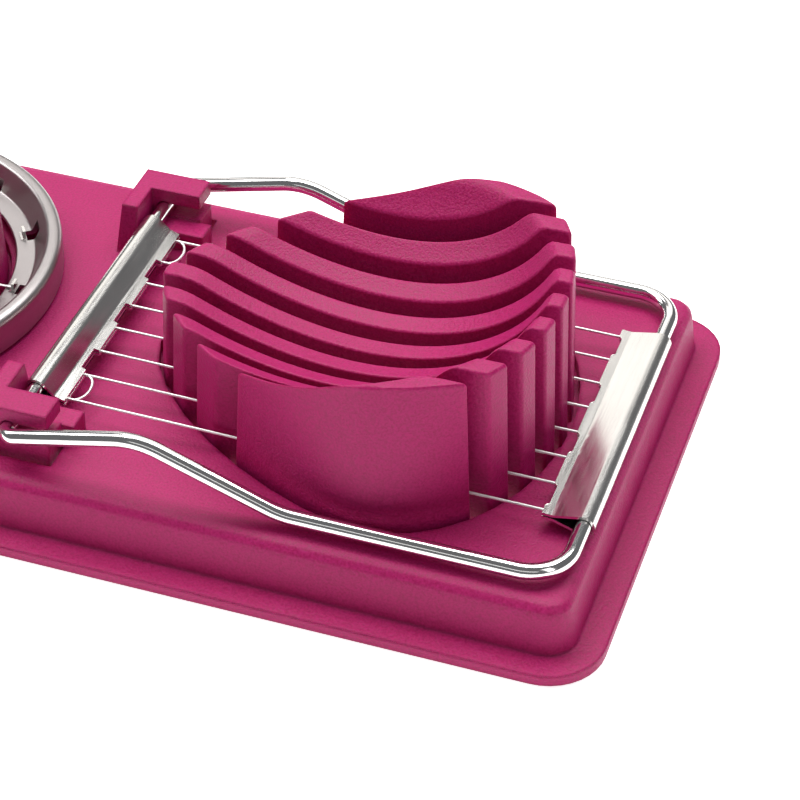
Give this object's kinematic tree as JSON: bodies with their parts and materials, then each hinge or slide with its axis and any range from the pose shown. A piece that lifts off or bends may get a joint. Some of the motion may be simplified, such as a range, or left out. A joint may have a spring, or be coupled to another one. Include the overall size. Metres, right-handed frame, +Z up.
{
  "type": "egg slicer",
  "caption": "Egg slicer and wedger: a wired frame hinged over a slotted cradle and a wired ring hinged over a slotted cup, on a low rectangular base.",
  "frame": {"origin": "middle of the base's footprint, on the table", "axes": "+X along the base towards the slicer's free end, +Y towards the back long edge, +Z up"},
  "size_m": [0.195, 0.09, 0.0343],
  "materials": {
    "pink_plastic": "rose-pink moulded plastic, satin with a fine grain",
    "polished_rod": "polished round stainless rod",
    "clip_sheet": "bright folded stainless sheet",
    "ring_sheet": "satin pressed steel sheet",
    "cutting_wire": "bright drawn stainless wire"
  },
  "bodies": {
    "base": {"base_shell": "pink_plastic", "slicer_cradle": "pink_plastic", "wedger_cup": "pink_plastic", "wedger_hinge_pin": "polished_rod"},
    "slicer_frame": {"slicer_frame_rod": "polished_rod", "slicer_hinge_clip": "clip_sheet", "slicer_end_clip": "clip_sheet", "slicer_wire_1": "cutting_wire", "slicer_wire_2": "cutting_wire", "slicer_wire_3": "cutting_wire", "slicer_wire_4": "cutting_wire", "slicer_wire_5": "cutting_wire", "slicer_wire_6": "cutting_wire", "slicer_wire_7": "cutting_wire", "slicer_wire_8": "cutting_wire"},
    "wedger_frame": {"wedger_ring": "ring_sheet", "wedger_wire_1": "cutting_wire", "wedger_wire_2": "cutting_wire", "wedger_wire_3": "cutting_wire"}
  },
  "joints": [
    {"name": "slicer_hinge", "type": "hinge", "parent": "base", "child": "slicer_frame", "pos_m": [0.003, 0, 0.0149], "axis": [0, -1, 0], "range_deg": [0, 110]},
    {"name": "wedger_hinge", "type": "hinge", "parent": "base", "child": "wedger_frame", "pos_m": [-0.083, 0, 0.0145], "axis": [0, -1, 0], "range_deg": [0, 110]}
  ]
}
